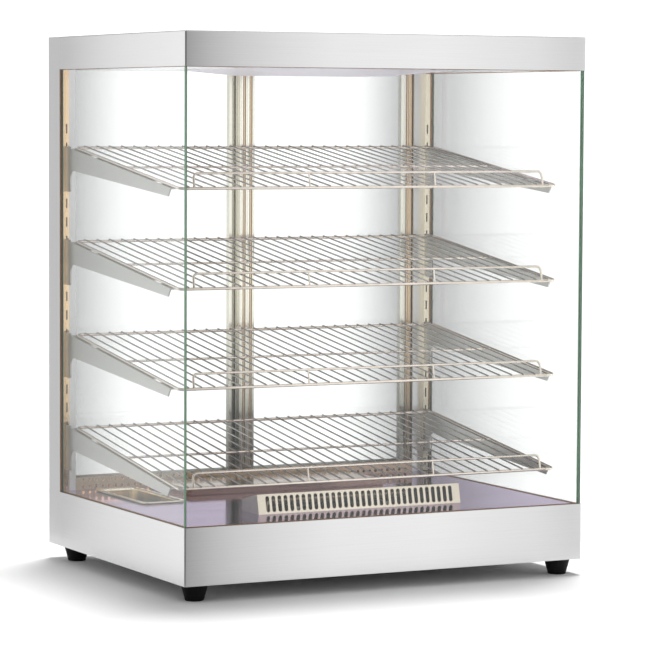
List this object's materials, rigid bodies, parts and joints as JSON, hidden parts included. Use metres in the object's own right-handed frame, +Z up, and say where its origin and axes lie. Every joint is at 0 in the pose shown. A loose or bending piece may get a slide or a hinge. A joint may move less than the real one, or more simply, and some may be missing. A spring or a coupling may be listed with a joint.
{
  "type": "hot food display case",
  "caption": "Countertop heated display case with glass on the front and sides, sloping wire shelves with front guards, sliding rear glass doors, a slotted heater cover and a water pan.",
  "frame": {"origin": "under the middle of the case, on the surface that the feet stand on", "axes": "+X is the right side seen from the front, +Y is the back where the doors slide, +Z is up"},
  "size_m": [0.66, 0.512, 0.812],
  "materials": {
    "brushed_stainless": "brushed stainless sheet, grain along the case",
    "polished_stainless": "bright polished stainless sheet",
    "upright_stainless": "polished stainless channel",
    "satin_stainless": "satin stainless sheet",
    "bright_wire": "electropolished wire",
    "pan_stainless": "drawn bright stainless",
    "heater_sheath": "heat-tinted steel tube",
    "anodised_aluminium": "clear anodised extrusion",
    "clear_glass": "tempered float glass, polished edges",
    "sealant": "neutral silicone bead",
    "black_rubber": "moulded",
    "zinc_screw": "zinc plated",
    "frosted_acrylic": "frosted",
    "lamp_board_white": "white solder mask with light emitters",
    "natural_nylon": "moulded",
    "black_pile": "woven pile",
    "black_nylon": "moulded",
    "green_rocker_plastic": "moulded",
    "amber_lens": "moulded, translucent"
  },
  "bodies": {
    "cabinet": {"base_shell": "brushed_stainless", "hood_shell": "brushed_stainless", "rear_post_left": "brushed_stainless", "rear_post_right": "brushed_stainless", "rear_header": "brushed_stainless", "control_panel": "brushed_stainless", "deck": "polished_stainless", "ceiling_panel": "polished_stainless", "upright_left": "upright_stainless", "upright_right": "upright_stainless", "rear_sill": "satin_stainless", "bottom_panel": "satin_stainless", "heater_cover": "satin_stainless", "rear_cover": "satin_stainless", "element_clips": "satin_stainless", "front_element": "heater_sheath", "rear_element": "heater_sheath", "track_top": "anodised_aluminium", "track_bottom": "anodised_aluminium", "front_glass": "clear_glass", "left_glass": "clear_glass", "right_glass": "clear_glass", "glass_seals": "sealant", "front_feet": "black_rubber", "rear_feet": "black_rubber", "foot_screws": "zinc_screw", "panel_screws": "zinc_screw", "lamp_cover": "frosted_acrylic", "lamp_board": "lamp_board_white", "thermostat": "black_nylon", "switch_bezels": "black_nylon", "cord_gland": "black_nylon", "indicator_lamp": "amber_lens", "bracket_1_left": "satin_stainless", "bracket_1_right": "satin_stainless", "bracket_2_left": "satin_stainless", "bracket_2_right": "satin_stainless", "bracket_3_left": "satin_stainless", "bracket_3_right": "satin_stainless", "bracket_4_left": "satin_stainless", "bracket_4_right": "satin_stainless"},
    "left_door": {"left_door_frame": "anodised_aluminium", "left_door_glass": "clear_glass", "left_door_glides": "natural_nylon"},
    "right_door": {"right_door_frame": "anodised_aluminium", "right_door_glass": "clear_glass", "right_door_glides": "natural_nylon", "pile_strip": "black_pile"},
    "tier_1": {"shelf_1": "bright_wire", "guard_1": "bright_wire"},
    "tier_2": {"shelf_2": "bright_wire", "guard_2": "bright_wire"},
    "tier_3": {"shelf_3": "bright_wire", "guard_3": "bright_wire"},
    "tier_4": {"shelf_4": "bright_wire", "guard_4": "bright_wire"},
    "pan": {"water_pan": "pan_stainless"},
    "knob": {"thermostat_knob": "black_nylon"},
    "power_switch": {"power_rocker": "green_rocker_plastic"},
    "light_switch": {"light_rocker": "black_nylon"}
  },
  "joints": [
    {"name": "left_door_slide", "type": "slide", "parent": "cabinet", "child": "left_door", "axis": [1, 0, 0], "range_m": [0, 0.306]},
    {"name": "right_door_slide", "type": "slide", "parent": "cabinet", "child": "right_door", "axis": [-1, 0, 0], "range_m": [0, 0.304]},
    {"name": "shelf_1_lift", "type": "slide", "parent": "cabinet", "child": "tier_1", "axis": [0, 0, 1], "range_m": [0, 0.04]},
    {"name": "shelf_2_lift", "type": "slide", "parent": "cabinet", "child": "tier_2", "axis": [0, 0, 1], "range_m": [0, 0.04]},
    {"name": "shelf_3_lift", "type": "slide", "parent": "cabinet", "child": "tier_3", "axis": [0, 0, 1], "range_m": [0, 0.04]},
    {"name": "shelf_4_lift", "type": "slide", "parent": "cabinet", "child": "tier_4", "axis": [0, 0, 1], "range_m": [0, 0.04]},
    {"name": "pan_lift", "type": "slide", "parent": "cabinet", "child": "pan", "axis": [0, 0, 1], "range_m": [0, 0.055]},
    {"name": "knob_turn", "type": "hinge", "parent": "cabinet", "child": "knob", "pos_m": [-0.04, 0.235, 0.06], "axis": [0, 1, 0], "range_deg": [0, 270]},
    {"name": "power_rock", "type": "hinge", "parent": "cabinet", "child": "power_switch", "pos_m": [-0.13, 0.226, 0.06], "axis": [1, 0, 0], "range_deg": [0, 20]},
    {"name": "light_rock", "type": "hinge", "parent": "cabinet", "child": "light_switch", "pos_m": [-0.09, 0.226, 0.06], "axis": [1, 0, 0], "range_deg": [0, 20]}
  ]
}
